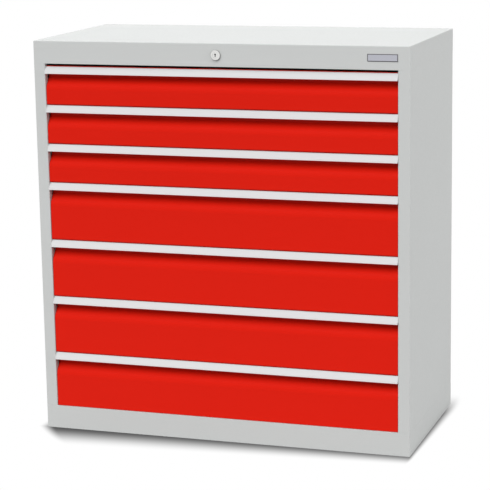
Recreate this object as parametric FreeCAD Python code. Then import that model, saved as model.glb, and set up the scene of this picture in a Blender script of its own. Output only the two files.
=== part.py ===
"""A steel drawer cabinet with seven drawers on telescopic runners and one central lock.

All sizes are in millimetres. X runs to the right, Y runs from the front to the back and Z runs up.
Every piece is drawn with Y measured from the front face of the frame and Z from the floor. Each
finished piece is then moved forward, so that the origin is on the floor, under the middle of the
whole depth from the lips of the handle strips to the back.
"""

import math
import os

import FreeCAD
import Part

Vector = FreeCAD.Vector

# Two coordinates closer than this count as the same
SAME = 1e-6

# Carcass
CASE_WIDTH = 979.0
CASE_DEPTH = 483.0
CAP_HEIGHT = 58.0
BASE_HEIGHT = 60.0
STILE_WIDTH = 30.0
CASE_SHEET = 1.5
CASE_BEND = 0.5
STILE_RETURN = 15.0
RAIL_RETURN = 16.0
EDGE_FLANGE = 20.0
FOOT_FLANGE = 18.0
BACK_SHEET = 1.2

# Drawers
LARGE_MODULE = 150.0
SMALL_MODULE = 100.0
LARGE_COUNT = 4
SMALL_COUNT = 3
HEADROOM = 1.0
TOP_FRONT_DROP = 1.2

# Drawer front, a folded sheet with a grip recess under the handle strip
FRONT_SHEET = 1.0
FRONT_BEND = 0.6
FRONT_SETBACK = 2.8
FRONT_GAP = 1.0
FRONT_SIDE_GAP = 1.0
FRONT_FALL = 3.7
FRONT_DEPTH = 20.2
FRONT_FOOT = 14.0
GRIP_BEND_DROP = 57.0
GRIP_BACK_DROP = 34.0
GRIP_ROLL = 24.0

# Handle strip, an extruded section that clips over the nose of the front
STRIP_SETBACK = 5.0
STRIP_REACH = 6.0
STRIP_DROP = 5.0
STRIP_RISE = 17.1
STRIP_THICKNESS = 2.0
STRIP_LIP = 2.0
STRIP_GROOVE = 0.6
STRIP_HOOK = 6.0
STRIP_HOOK_WALL = 1.2

# Tray
TRAY_LIFT = 6.0
TRAY_HEAD = 19.0
TRAY_SHEET = 1.2
TRAY_HEM = 10.0
TRAY_CORNER = 2.0

# Telescopic runner, with its section measured from the upright towards the tray
RUNNER_THICKNESS = 12.7
RUNNER_SETBACK = 25.0
RUNNER_TO_BACK = 58.0
RUNNER_RISE = 34.0
RUNNER_SHEET = 1.2
OUTER_HEIGHT = 45.6
OUTER_DEPTH = 10.0
OUTER_LIP = 4.0
MIDDLE_HEIGHT = 34.4
MIDDLE_START = 2.6
MIDDLE_DEPTH = 8.9
INNER_HEIGHT = 24.0
INNER_DEPTH = 7.7
BALL_CLEARANCE = 0.3
RETAINER_LENGTH = 160.0
RETAINER_WIDTH = 5.0
RETAINER_INSET = 12.0

# Slotted uprights
UPRIGHT_WIDTH = 40.0
UPRIGHT_SHEET = 1.5
UPRIGHT_INSET = 5.0
SLOT_PITCH = 50.0
SLOT_HEIGHT = 18.0
SLOT_WIDTH = 6.0
TAB_HEIGHT = 12.0
TAB_WIDTH = 4.0
TAB_REACH = 4.0

# Lock in the middle of the top rail
LOCK_FLANGE_RADIUS = 12.5
LOCK_FLANGE_REACH = 5.0
LOCK_FLANGE_EDGE = 1.2
LOCK_BODY_RADIUS = 9.5
LOCK_BODY_LENGTH = 24.0
LOCK_HOLE_CLEARANCE = 0.1
LOCK_NUT_SIDES = 6
LOCK_NUT_RADIUS = 14.0
LOCK_NUT_LENGTH = 4.0
PLUG_RADIUS = 7.0
PLUG_CLEARANCE = 0.05
PLUG_RECESS = 0.6
PLUG_TAIL = 3.0
KEYHOLE_RADIUS = 2.1
KEYHOLE_HEIGHT = 8.0
KEYHOLE_WIDTH = 2.2
KEYHOLE_DEPTH = 8.0

# Spindle and crank, which lift the locking bar
SPINDLE_RADIUS = 4.0
SPINDLE_CLEARANCE = 0.08
CRANK_RADIUS = 8.5
CRANK_REST_ANGLE = 45.0
CRANK_PLATE = 3.0
CRANK_HUB = 8.0
CRANK_EYE = 5.5
CRANK_PIN_RADIUS = 3.0
CRANK_PIN_PLAY = 0.4
CRANK_GAP = 4.0
BEARING_SHEET = 2.0
BEARING_WIDTH = 30.0
BEARING_SETBACK = 12.0
BEARING_FOOT = 18.0

# Locking bar and its fingers
BAR_WIDTH = 20.0
BAR_THICKNESS = 3.0
BAR_TO_BACK = 19.8
BAR_BOTTOM = 20.0
BAR_HEAD = 10.0
GUIDE_WIDTH = 36.0
GUIDE_HEIGHT = 18.0
GUIDE_FRONT = 4.0
GUIDE_CLEARANCE = 0.3
GUIDE_RISE = 8.0
FINGER_SHEET = 3.0
FINGER_WIDTH = 16.0
FINGER_REACH = 14.0
FINGER_HEIGHT = 14.0
FINGER_DROP = 3.0

# Catch on the rear wall of each tray
CATCH_SHEET = 2.0
CATCH_WIDTH = 24.0
CATCH_ROOT = 16.0
CATCH_STOP = 12.0
CATCH_PLAY = 3.0

# Sizes that follow from the ones above; the modules run from the bottom drawer to the top one
DRAWER_MODULES = (LARGE_MODULE,) * LARGE_COUNT + (SMALL_MODULE,) * SMALL_COUNT
OPENING_HEIGHT = sum(DRAWER_MODULES) + HEADROOM
RAIL_BOTTOM = BASE_HEIGHT + OPENING_HEIGHT
CASE_HEIGHT = RAIL_BOTTOM + CAP_HEIGHT
CASE_HALF = CASE_WIDTH / 2
CORNER_RADIUS = CASE_SHEET + CASE_BEND
SIDE_HALF = CASE_HALF - CASE_SHEET
SIDE_DEPTH = CASE_DEPTH - CASE_SHEET
OPENING_HALF = CASE_HALF - STILE_WIDTH
UNDER_CAP = CASE_HEIGHT - CASE_SHEET
BACK_INNER = SIDE_DEPTH - CASE_SHEET - BACK_SHEET
FRONT_HALF = OPENING_HALF - FRONT_SIDE_GAP
FRONT_BACK = FRONT_SETBACK + FRONT_DEPTH
TRAY_HALF = OPENING_HALF - RUNNER_THICKNESS
RUNNER_LENGTH = CASE_DEPTH - RUNNER_TO_BACK - RUNNER_SETBACK
TRAY_FRONT = FRONT_BACK
TRAY_BACK = TRAY_FRONT + RUNNER_LENGTH
UPRIGHT_FRONT = RUNNER_SETBACK + UPRIGHT_INSET
UPRIGHT_REAR = RUNNER_SETBACK + RUNNER_LENGTH - UPRIGHT_INSET - UPRIGHT_WIDTH
LOCK_HEIGHT = RAIL_BOTTOM + CAP_HEIGHT / 2
CRANK_LIFT = 2 * CRANK_RADIUS * math.sin(math.radians(CRANK_REST_ANGLE))
CRANK_PIN_NEAR = CRANK_RADIUS * math.cos(math.radians(CRANK_REST_ANGLE))
BAR_CENTRE = -(CRANK_RADIUS + CRANK_PIN_NEAR) / 2
BAR_BACK = BACK_INNER - BAR_TO_BACK
BAR_FRONT = BAR_BACK - BAR_THICKNESS
FINGER_FRONT = BAR_FRONT - FINGER_REACH
PIN_REST_HEIGHT = LOCK_HEIGHT - CRANK_LIFT / 2
STRIP_HOOK_LEVEL = -FRONT_SHEET - STRIP_HOOK_WALL
STRIP_ROUND = (STRIP_THICKNESS - STRIP_HOOK_LEVEL) / 2


def box(x_range, y_range, z_range):
    """Return a box between two corners, given as a range along each axis."""
    (x0, x1), (y0, y1), (z0, z1) = x_range, y_range, z_range
    return Part.makeBox(x1 - x0, y1 - y0, z1 - z0, Vector(x0, y0, z0))


def cylinder(radius, y_range, x, z):
    """Return a round bar that lies along Y."""
    y0, y1 = y_range
    return Part.makeCylinder(radius, y1 - y0, Vector(x, y0, z), Vector(0, 1, 0))


def left_of(direction):
    """Return the unit vector a quarter turn to the left of a direction in the XY plane."""
    return Vector(-direction.y, direction.x, 0)


def fold_side(points, bends, thickness):
    """Return the edges on the left side of a folded strip whose centre line joins the points.

    Each bend is an arc about the fold's own centre, so both sides of the sheet stay parallel. A
    bend of no radius is a sharp corner, for the small folds that lie hidden.
    """
    half = thickness / 2
    runs = [(b - a).normalize() for a, b in zip(points, points[1:])]
    start = points[0] + left_of(runs[0]) * half
    edges = []
    for corner, before, after, bend in zip(points[1:], runs, runs[1:], bends[1:]):
        if not bend:
            normals = left_of(before) + left_of(after)
            mitre = corner + normals * (2 * half / normals.dot(normals))
            edges.append(Part.LineSegment(start, mitre).toShape())
            start = mitre
            continue
        side = 1.0 if before.cross(after).z > 0 else -1.0
        middle = bend + half
        reach = middle * math.tan(before.getAngle(after) / 2)
        centre = corner - before * reach + left_of(before) * (middle * side)
        enter = corner - before * reach + left_of(before) * half
        leave = corner + after * reach + left_of(after) * half
        outward = (corner - centre).normalize()
        crown = centre + outward * (middle - side * half)
        edges.append(Part.LineSegment(start, enter).toShape())
        edges.append(Part.Arc(enter, crown, leave).toShape())
        start = leave
    edges.append(Part.LineSegment(start, points[-1] + left_of(runs[-1]) * half).toShape())
    return edges


def folded(outline, thickness, place, run, bend=0.0):
    """Return sheet metal folded along an outline of (a, b) points and carried along a vector.

    The placement turns the flat section into its plane on the cabinet. The bend is the radius
    inside each fold, and a point with a third number has that radius instead.
    """
    points = [Vector(point[0], point[1], 0) for point in outline]
    bends = [point[2] if len(point) > 2 else bend for point in outline]
    one_side = fold_side(points, bends, thickness)
    other_side = fold_side(points[::-1], bends[::-1], thickness)
    first_end = Part.LineSegment(one_side[-1].lastVertex().Point, other_side[0].firstVertex().Point)
    last_end = Part.LineSegment(other_side[-1].lastVertex().Point, one_side[0].firstVertex().Point)
    wire = Part.Wire([*one_side, first_end.toShape(), *other_side, last_end.toShape()])
    face = Part.Face(wire)
    face.Placement = place
    return face.extrude(run)


def plane(a_axis, b_axis, origin=Vector(0, 0, 0)):
    """Return the placement that lays a flat section's a and b along two axes of the cabinet."""
    normal = a_axis.cross(b_axis)
    return FreeCAD.Placement(origin, FreeCAD.Rotation(a_axis, b_axis, normal, "ZXY"))


def side_section(x):
    """Return the placement of a section seen from the side, with a as depth and b as height."""
    return plane(Vector(0, 1, 0), Vector(0, 0, 1), Vector(x, 0, 0))


def plan_section(z):
    """Return the placement of a section seen from above, with a as width and b as depth."""
    return plane(Vector(1, 0, 0), Vector(0, 1, 0), Vector(0, 0, z))


def mirrored(shape):
    """Return the same shape on the other side of the cabinet's middle plane."""
    return shape.mirror(Vector(0, 0, 0), Vector(1, 0, 0))


def both_sides(shape):
    """Return a group of the right-hand solids and their mirror images."""
    return Part.Compound([*shape.Solids, *mirrored(shape).Solids])


def edges_where(shape, test):
    """Return the edges of a shape whose ends all pass a test."""
    return [edge for edge in shape.Edges if all(test(v.Point) for v in edge.Vertexes)]


def is_vertical(edge):
    """Tell whether an edge runs straight up."""
    a, b = (vertex.Point for vertex in edge.Vertexes)
    return abs(a.x - b.x) + abs(a.y - b.y) < SAME


def top_cap():
    """Return the cap: a pan with skirts all round, whose front skirt is the rail with the lock."""
    outer = box((-CASE_HALF, CASE_HALF), (0, CASE_DEPTH), (RAIL_BOTTOM, CASE_HEIGHT))
    soft = edges_where(outer, lambda p: abs(p.z - CASE_HEIGHT) < SAME)
    soft += [edge for edge in outer.Edges if is_vertical(edge)]
    outer = outer.makeFillet(CORNER_RADIUS, soft)
    inner = box(
        (-SIDE_HALF, SIDE_HALF),
        (CASE_SHEET, SIDE_DEPTH),
        (RAIL_BOTTOM - CASE_SHEET, UNDER_CAP),
    )
    rail_return = box(
        (-SIDE_HALF + CASE_SHEET, SIDE_HALF - CASE_SHEET),
        (CASE_SHEET, RAIL_RETURN),
        (RAIL_BOTTOM, RAIL_BOTTOM + CASE_SHEET),
    )
    lock_hole = cylinder(
        LOCK_BODY_RADIUS + LOCK_HOLE_CLEARANCE, (-CASE_SHEET, 2 * CASE_SHEET), 0, LOCK_HEIGHT
    )
    return outer.cut(inner).fuse(rail_return).cut(lock_hole).removeSplitter()


def base_pan():
    """Return the base: an inverted pan with closed plinth skirts and a flange along the floor."""
    outer = box((-CASE_HALF, CASE_HALF), (0, CASE_DEPTH), (0, BASE_HEIGHT))
    outer = outer.makeFillet(CORNER_RADIUS, [edge for edge in outer.Edges if is_vertical(edge)])
    hollow = box(
        (-SIDE_HALF, SIDE_HALF), (CASE_SHEET, SIDE_DEPTH), (CASE_SHEET, BASE_HEIGHT - CASE_SHEET)
    )
    mouth = box(
        (-SIDE_HALF + FOOT_FLANGE, SIDE_HALF - FOOT_FLANGE),
        (CASE_SHEET + FOOT_FLANGE, SIDE_DEPTH - FOOT_FLANGE),
        (-CASE_SHEET, 2 * CASE_SHEET),
    )
    return outer.cut(hollow).cut(mouth)


def side_panel():
    """Return the right side panel: a sheet flush with the cap and the base, folded in at the front
    into the stile and its return, and folded in at the back. Its top steps in behind the cap's
    skirt, and flanges close it towards the cap and the base.
    """
    middle = CASE_SHEET / 2
    rear = (SIDE_HALF - EDGE_FLANGE, SIDE_DEPTH - middle)
    skin = (
        (OPENING_HALF + middle, CASE_SHEET + STILE_RETURN),
        (OPENING_HALF + middle, middle),
        (CASE_HALF - middle, middle),
        (CASE_HALF - middle, SIDE_DEPTH - middle),
        rear,
    )
    tongue = (
        (SIDE_HALF - middle, CASE_SHEET),
        (SIDE_HALF - middle, SIDE_DEPTH - middle),
        rear,
    )
    step_level = RAIL_BOTTOM - CASE_SHEET
    rise = Vector(0, 0, RAIL_BOTTOM - BASE_HEIGHT)
    panel = folded(skin, CASE_SHEET, plan_section(BASE_HEIGHT), rise, CASE_BEND)
    upper = folded(
        tongue, CASE_SHEET, plan_section(step_level), Vector(0, 0, UNDER_CAP - step_level), CASE_BEND
    )
    step = box(
        (SIDE_HALF - CASE_SHEET, CASE_HALF),
        (CORNER_RADIUS, SIDE_DEPTH - CORNER_RADIUS),
        (step_level, RAIL_BOTTOM),
    )
    flange_y = (CASE_SHEET + STILE_RETURN, SIDE_DEPTH - CASE_SHEET)
    bottom = box(
        (SIDE_HALF - EDGE_FLANGE, SIDE_HALF), flange_y, (BASE_HEIGHT, BASE_HEIGHT + CASE_SHEET)
    )
    top = box(
        (SIDE_HALF - EDGE_FLANGE, SIDE_HALF - CASE_SHEET),
        flange_y,
        (UNDER_CAP - CASE_SHEET, UNDER_CAP),
    )
    return panel.fuse([upper, step, bottom, top]).removeSplitter()


def back_panel():
    """Return the back sheet, which lies against the rear flanges of the side panels."""
    side = SIDE_HALF - CASE_SHEET - CASE_BEND
    return box(
        (-side, side),
        (BACK_INNER, BACK_INNER + BACK_SHEET),
        (BASE_HEIGHT + CASE_SHEET, UNDER_CAP - CASE_SHEET),
    )


def upright(start):
    """Return a right-hand slotted upright that starts at a depth and backs onto the side panel."""
    middle = UPRIGHT_SHEET / 2
    outline = (
        (SIDE_HALF, start + middle),
        (OPENING_HALF + middle, start + middle),
        (OPENING_HALF + middle, start + UPRIGHT_WIDTH - middle),
        (SIDE_HALF, start + UPRIGHT_WIDTH - middle),
    )
    bottom = BASE_HEIGHT + CASE_SHEET
    top = RAIL_BOTTOM - CASE_SHEET
    post = folded(outline, UPRIGHT_SHEET, plan_section(bottom), Vector(0, 0, top - bottom))
    first = BASE_HEIGHT + RUNNER_RISE
    count = 1 + int((top - first - SLOT_HEIGHT) // SLOT_PITCH)
    centre = start + UPRIGHT_WIDTH / 2
    slots = [
        box(
            (OPENING_HALF - UPRIGHT_SHEET, OPENING_HALF + 2 * UPRIGHT_SHEET),
            (centre - SLOT_WIDTH / 2, centre + SLOT_WIDTH / 2),
            (first + i * SLOT_PITCH - SLOT_HEIGHT / 2, first + i * SLOT_PITCH + SLOT_HEIGHT / 2),
        )
        for i in range(count)
    ]
    return post.cut(slots)


def runner_channel(start, depth, height, z):
    """Return the centre line of a runner member: a channel between two distances from the upright.

    A positive depth opens the channel towards the tray and a negative one towards the upright.
    """
    skin = math.copysign(RUNNER_SHEET / 2, depth)
    reach = height / 2 - RUNNER_SHEET / 2
    return (
        (start + depth, z + reach),
        (start + skin, z + reach),
        (start + skin, z - reach),
        (start + depth, z - reach),
    )


def runner_place(start):
    """Return the placement of a runner section on the right side, at a depth into the cabinet."""
    return plane(Vector(-1, 0, 0), Vector(0, 0, 1), Vector(OPENING_HALF, start, 0))


def runner_member(outline, start):
    """Return a runner member carried back along Y from a depth."""
    return folded(outline, RUNNER_SHEET, runner_place(start), Vector(0, RUNNER_LENGTH, 0))


def outer_member(z):
    """Return the right cabinet member with lips over its balls and tabs through the uprights."""
    flat = runner_channel(0, OUTER_DEPTH - RUNNER_SHEET / 2, OUTER_HEIGHT, z)
    lip_top = (flat[0][0], flat[0][1] - OUTER_LIP + RUNNER_SHEET / 2)
    lip_bottom = (flat[3][0], flat[3][1] + OUTER_LIP - RUNNER_SHEET / 2)
    member = runner_member((lip_top, *flat, lip_bottom), RUNNER_SETBACK)
    tabs = []
    for start in (UPRIGHT_FRONT, UPRIGHT_REAR):
        centre = start + UPRIGHT_WIDTH / 2
        tabs.append(
            box(
                (OPENING_HALF - RUNNER_SHEET / 2, OPENING_HALF + TAB_REACH),
                (centre - TAB_WIDTH / 2, centre + TAB_WIDTH / 2),
                (z - TAB_HEIGHT / 2, z + TAB_HEIGHT / 2),
            )
        )
    return member.fuse(tabs).removeSplitter()


def middle_member(z):
    """Return the right middle member and the four ball retainers that run above and below it."""
    channel = runner_channel(MIDDLE_START, MIDDLE_DEPTH, MIDDLE_HEIGHT, z)
    member = runner_member(channel, RUNNER_SETBACK)
    outer_race = (MIDDLE_HEIGHT / 2, OUTER_HEIGHT / 2 - RUNNER_SHEET)
    inner_race = (INNER_HEIGHT / 2, MIDDLE_HEIGHT / 2 - RUNNER_SHEET)
    rear = RUNNER_SETBACK + RUNNER_LENGTH - RETAINER_INSET - RETAINER_LENGTH
    front = RUNNER_SETBACK + RETAINER_INSET
    outer_x = OPENING_HALF - OUTER_DEPTH + RUNNER_SHEET + BALL_CLEARANCE
    inner_x = OPENING_HALF - RUNNER_THICKNESS + RUNNER_SHEET + BALL_CLEARANCE
    solids = [member]
    for (low, high), start, x in ((outer_race, rear, outer_x), (inner_race, front, inner_x)):
        for side in (1, -1):
            ends = sorted((z + side * (low + BALL_CLEARANCE), z + side * (high - BALL_CLEARANCE)))
            solids.append(box((x, x + RETAINER_WIDTH), (start, start + RETAINER_LENGTH), ends))
    return Part.Compound(solids)


def drawer_member(z):
    """Return the right drawer member, which lies against the side wall of the tray."""
    channel = runner_channel(RUNNER_THICKNESS, -INNER_DEPTH, INNER_HEIGHT, z)
    return runner_member(channel, RUNNER_SETBACK)


class Nose:
    """The slanted nose of one drawer front, where the handle strip sits.

    Points on it are given by the distance down the slant and the height above the nose's sheet.
    """

    def __init__(self, module_top, drop):
        top = Vector(STRIP_SETBACK, module_top - STRIP_DROP - drop, 0)
        bottom = Vector(-STRIP_REACH, top.y - STRIP_RISE, 0)
        self.length = (bottom - top).Length
        self.down = (bottom - top).normalize()
        self.out = Vector(self.down.y, -self.down.x, 0)
        self.start = top - self.out * STRIP_THICKNESS

    def at(self, along, height):
        """Return the depth and height of a point on the nose."""
        point = self.start + self.down * along + self.out * height
        return point.x, point.y

    def at_level(self, level, height):
        """Return the point of a line parallel to the nose that lies at a level."""
        origin = self.start + self.out * height
        return self.at((level - origin.y) / self.down.y, height)


def drawer_front(bottom, module, drop, fall):
    """Return a drawer front: the face, which rolls back into the slant of the grip, the grip's back
    wall, the top shelf and the nose, folded from one sheet, with closed ends below the grip.

    The shelf lies lower than the module's top, and the foot of the front above falls by the same
    distance to meet it, so fall is zero only for the front that ends on the base.
    """
    middle = FRONT_SHEET / 2
    top = bottom + module
    foot = bottom + FRONT_GAP / 2 - fall + middle
    face = FRONT_SETBACK + middle
    back = FRONT_BACK - middle
    shelf = top - FRONT_GAP / 2 - FRONT_FALL - drop - middle
    grip_bend = top - GRIP_BEND_DROP
    grip_back = top - GRIP_BACK_DROP
    nose = Nose(top, drop)
    outline = (
        (back, bottom + FRONT_FOOT),
        (back, foot),
        (face, foot),
        (face, grip_bend, GRIP_ROLL),
        (back, grip_back),
        (back, shelf),
        nose.at_level(shelf, -middle),
        nose.at(nose.length - STRIP_THICKNESS - FRONT_SHEET, -middle),
    )
    width = Vector(2 * FRONT_HALF, 0, 0)
    sheet = folded(outline, FRONT_SHEET, side_section(-FRONT_HALF), width, FRONT_BEND)
    end = Part.Face(
        Part.makePolygon(
            [
                Vector(-FRONT_HALF, y, z)
                for y, z in (
                    (face, foot),
                    (back, foot),
                    (back, grip_back),
                    (face, grip_bend),
                    (face, foot),
                )
            ]
        )
    ).extrude(Vector(FRONT_SHEET, 0, 0))
    shoulder = edges_where(end, lambda p: abs(p.y - face) < SAME and abs(p.z - grip_bend) < SAME)
    end = end.makeFillet(GRIP_ROLL + middle, shoulder)
    return sheet.fuse([end, mirrored(end)]).removeSplitter()


def handle_strip(bottom, module, drop):
    """Return the handle strip: a grooved face with a rounded lower lip that hooks round the nose."""
    nose = Nose(bottom + module, drop)
    tip = nose.length
    round_start = tip - STRIP_ROUND
    seat_end = nose.length - STRIP_THICKNESS - FRONT_SHEET
    groove = STRIP_THICKNESS - STRIP_GROOVE
    groove_end = round_start - STRIP_LIP / 2
    path = [
        (0, 0),
        (0, STRIP_THICKNESS),
        (STRIP_LIP, STRIP_THICKNESS),
        (STRIP_LIP, groove),
        (groove_end, groove),
        (groove_end, STRIP_THICKNESS),
        (round_start, STRIP_THICKNESS),
    ]
    hooked = [
        (round_start, STRIP_HOOK_LEVEL),
        (tip - STRIP_HOOK, STRIP_HOOK_LEVEL),
        (tip - STRIP_HOOK, -FRONT_SHEET),
        (seat_end, -FRONT_SHEET),
        (seat_end, 0),
        (0, 0),
    ]

    def place(along, height):
        depth, level = nose.at(along, height)
        return Vector(-FRONT_HALF, depth, level)

    edges = [Part.LineSegment(place(*a), place(*b)).toShape() for a, b in zip(path, path[1:])]
    crown = place(tip, STRIP_THICKNESS - STRIP_ROUND)
    edges.append(Part.Arc(place(*path[-1]), crown, place(*hooked[0])).toShape())
    edges += [Part.LineSegment(place(*a), place(*b)).toShape() for a, b in zip(hooked, hooked[1:])]
    return Part.Face(Part.Wire(edges)).extrude(Vector(2 * FRONT_HALF, 0, 0))


def tray_top(bottom, module):
    """Return the height of the tray's rim above the floor."""
    return bottom + module - TRAY_HEAD


def tray(bottom, module):
    """Return a tray: four walls with their top edges folded down inside as a hem."""
    low = bottom + TRAY_LIFT
    high = tray_top(bottom, module)
    outer = box((-TRAY_HALF, TRAY_HALF), (TRAY_FRONT, TRAY_BACK), (low, high))
    outer = outer.makeFillet(TRAY_CORNER, [edge for edge in outer.Edges if is_vertical(edge)])

    def well(wall, floor):
        return box(
            (-TRAY_HALF + wall, TRAY_HALF - wall),
            (TRAY_FRONT + wall, TRAY_BACK - wall),
            (floor, high + TRAY_SHEET),
        )

    hem = box((-TRAY_HALF, TRAY_HALF), (TRAY_FRONT, TRAY_BACK), (high - TRAY_HEM, high))
    hem = hem.cut(well(2 * TRAY_SHEET, low)).common(outer)
    return outer.cut(well(TRAY_SHEET, low + TRAY_SHEET)).fuse(hem).removeSplitter()


def catch(bottom, module):
    """Return the catch: a bracket on the tray's rear wall that ends in a stop pointing down."""
    middle = CATCH_SHEET / 2
    top = tray_top(bottom, module)
    stop = FINGER_FRONT + FINGER_SHEET + CATCH_PLAY + middle
    outline = (
        (TRAY_BACK + middle, top - CATCH_ROOT),
        (TRAY_BACK + middle, top - middle),
        (stop, top - middle),
        (stop, top - CATCH_SHEET - CATCH_STOP),
    )
    left = BAR_CENTRE - CATCH_WIDTH / 2
    return folded(outline, CATCH_SHEET, side_section(left), Vector(CATCH_WIDTH, 0, 0))


def locking_finger(bottom, module):
    """Return one finger: it reaches forward from the bar under the stop and turns up before it."""
    middle = FINGER_SHEET / 2
    tip = tray_top(bottom, module) - CATCH_SHEET - CATCH_STOP - FINGER_DROP
    level = tip - FINGER_HEIGHT + middle
    outline = (
        (BAR_FRONT, level),
        (FINGER_FRONT + middle, level),
        (FINGER_FRONT + middle, tip),
    )
    left = BAR_CENTRE - FINGER_WIDTH / 2
    return folded(outline, FINGER_SHEET, side_section(left), Vector(FINGER_WIDTH, 0, 0))


def locking_bar():
    """Return the flat bar that rises behind the drawers, with the crank's slot near its top."""
    bar = box(
        (BAR_CENTRE - BAR_WIDTH / 2, BAR_CENTRE + BAR_WIDTH / 2),
        (BAR_FRONT, BAR_BACK),
        (BASE_HEIGHT + BAR_BOTTOM, PIN_REST_HEIGHT + BAR_HEAD),
    )
    radius = CRANK_PIN_RADIUS + CRANK_PIN_PLAY
    through = (BAR_FRONT - BAR_THICKNESS, BAR_BACK + BAR_THICKNESS)
    slot = [
        cylinder(radius, through, -CRANK_RADIUS, PIN_REST_HEIGHT),
        cylinder(radius, through, -CRANK_PIN_NEAR, PIN_REST_HEIGHT),
        box(
            (-CRANK_RADIUS, -CRANK_PIN_NEAR),
            through,
            (PIN_REST_HEIGHT - radius, PIN_REST_HEIGHT + radius),
        ),
    ]
    return bar.cut(slot)


def bar_guide(low):
    """Return a guide block on the back panel, with a slot that the locking bar slides through."""
    half = BAR_WIDTH / 2 + GUIDE_CLEARANCE
    block = box(
        (BAR_CENTRE - GUIDE_WIDTH / 2, BAR_CENTRE + GUIDE_WIDTH / 2),
        (BAR_FRONT - GUIDE_FRONT, BACK_INNER),
        (low, low + GUIDE_HEIGHT),
    )
    slot = box(
        (BAR_CENTRE - half, BAR_CENTRE + half),
        (BAR_FRONT - GUIDE_CLEARANCE, BAR_BACK + GUIDE_CLEARANCE),
        (low - GUIDE_CLEARANCE, low + GUIDE_HEIGHT + GUIDE_CLEARANCE),
    )
    return block.cut(slot)


def bar_guides():
    """Return the lower guide, near the base, and the upper one, above the top drawer's catch."""
    lower = BASE_HEIGHT + BAR_BOTTOM + GUIDE_RISE
    upper = tray_top(RAIL_BOTTOM - HEADROOM - DRAWER_MODULES[-1], DRAWER_MODULES[-1]) + GUIDE_RISE
    return Part.Compound([bar_guide(lower), bar_guide(upper)])


def lock_housing():
    """Return the fixed lock housing: a round flange on the rail and a barrel through it."""
    flange = cylinder(LOCK_FLANGE_RADIUS, (-LOCK_FLANGE_REACH, 0), 0, LOCK_HEIGHT)
    rim = edges_where(flange, lambda p: abs(p.y + LOCK_FLANGE_REACH) < SAME)
    flange = flange.makeChamfer(LOCK_FLANGE_EDGE, rim)
    barrel = cylinder(LOCK_BODY_RADIUS, (-CASE_SHEET, LOCK_BODY_LENGTH), 0, LOCK_HEIGHT)
    bore = cylinder(
        PLUG_RADIUS + PLUG_CLEARANCE, (-2 * LOCK_FLANGE_REACH, 2 * LOCK_BODY_LENGTH), 0, LOCK_HEIGHT
    )
    return flange.fuse(barrel).cut(bore).removeSplitter()


def lock_nut():
    """Return the nut that clamps the housing behind the rail."""
    corners = []
    for i in range(LOCK_NUT_SIDES + 1):
        angle = 2 * math.pi * i / LOCK_NUT_SIDES
        x = LOCK_NUT_RADIUS * math.cos(angle)
        z = LOCK_NUT_RADIUS * math.sin(angle)
        corners.append(Vector(x, CASE_SHEET, LOCK_HEIGHT + z))
    nut = Part.Face(Part.makePolygon(corners)).extrude(Vector(0, LOCK_NUT_LENGTH, 0))
    return nut.cut(cylinder(LOCK_BODY_RADIUS, (0, LOCK_BODY_LENGTH), 0, LOCK_HEIGHT))


def lock_plug():
    """Return the plug that the key turns, with its keyhole in the front face."""
    front = -LOCK_FLANGE_REACH + PLUG_RECESS
    plug = cylinder(PLUG_RADIUS, (front, LOCK_BODY_LENGTH + PLUG_TAIL), 0, LOCK_HEIGHT)
    depth = (front - PLUG_RECESS, front + KEYHOLE_DEPTH)
    slit = box(
        (-KEYHOLE_WIDTH / 2, KEYHOLE_WIDTH / 2),
        depth,
        (LOCK_HEIGHT - KEYHOLE_HEIGHT / 2, LOCK_HEIGHT + KEYHOLE_HEIGHT / 2),
    )
    eye = cylinder(KEYHOLE_RADIUS, depth, 0, LOCK_HEIGHT + KEYHOLE_HEIGHT / 2 - KEYHOLE_RADIUS)
    return plug.cut([slit, eye])


def crank_point(radius):
    """Return the sideways place and height of a point on the crank's centre line, unlocked."""
    angle = math.radians(CRANK_REST_ANGLE)
    return -radius * math.cos(angle), LOCK_HEIGHT - radius * math.sin(angle)


def lock_spindle():
    """Return the spindle from the plug to the back, with its crank and the pin in the bar's slot."""
    crank_back = BAR_FRONT - CRANK_GAP
    crank_y = (crank_back - CRANK_PLATE, crank_back)
    rod = cylinder(SPINDLE_RADIUS, (LOCK_BODY_LENGTH + PLUG_TAIL, crank_back), 0, LOCK_HEIGHT)
    hub = cylinder(CRANK_HUB, crank_y, 0, LOCK_HEIGHT)
    pin_x, pin_z = crank_point(CRANK_RADIUS)
    eye = cylinder(CRANK_EYE, crank_y, pin_x, pin_z)
    pin = cylinder(CRANK_PIN_RADIUS, (crank_y[0], BAR_BACK + BAR_THICKNESS), pin_x, pin_z)
    return rod.fuse([hub, eye, pin]).removeSplitter()


def spindle_bearing():
    """Return the bracket under the cap that carries the spindle's rear end."""
    middle = BEARING_SHEET / 2
    web = BAR_FRONT - CRANK_GAP - CRANK_PLATE - BEARING_SETBACK
    outline = (
        (web - BEARING_FOOT, UNDER_CAP - middle),
        (web, UNDER_CAP - middle),
        (web, LOCK_HEIGHT - BEARING_WIDTH / 2),
    )
    width = Vector(BEARING_WIDTH, 0, 0)
    bracket = folded(outline, BEARING_SHEET, side_section(-BEARING_WIDTH / 2), width)
    through = (web - BEARING_SHEET, web + BEARING_SHEET)
    hole = cylinder(SPINDLE_RADIUS + SPINDLE_CLEARANCE, through, 0, LOCK_HEIGHT)
    return bracket.cut(hole)


def drawer_bottoms():
    """Return the height at which each drawer's module starts, from the bottom to the top."""
    return [BASE_HEIGHT + sum(DRAWER_MODULES[:i]) for i in range(len(DRAWER_MODULES))]


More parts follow.
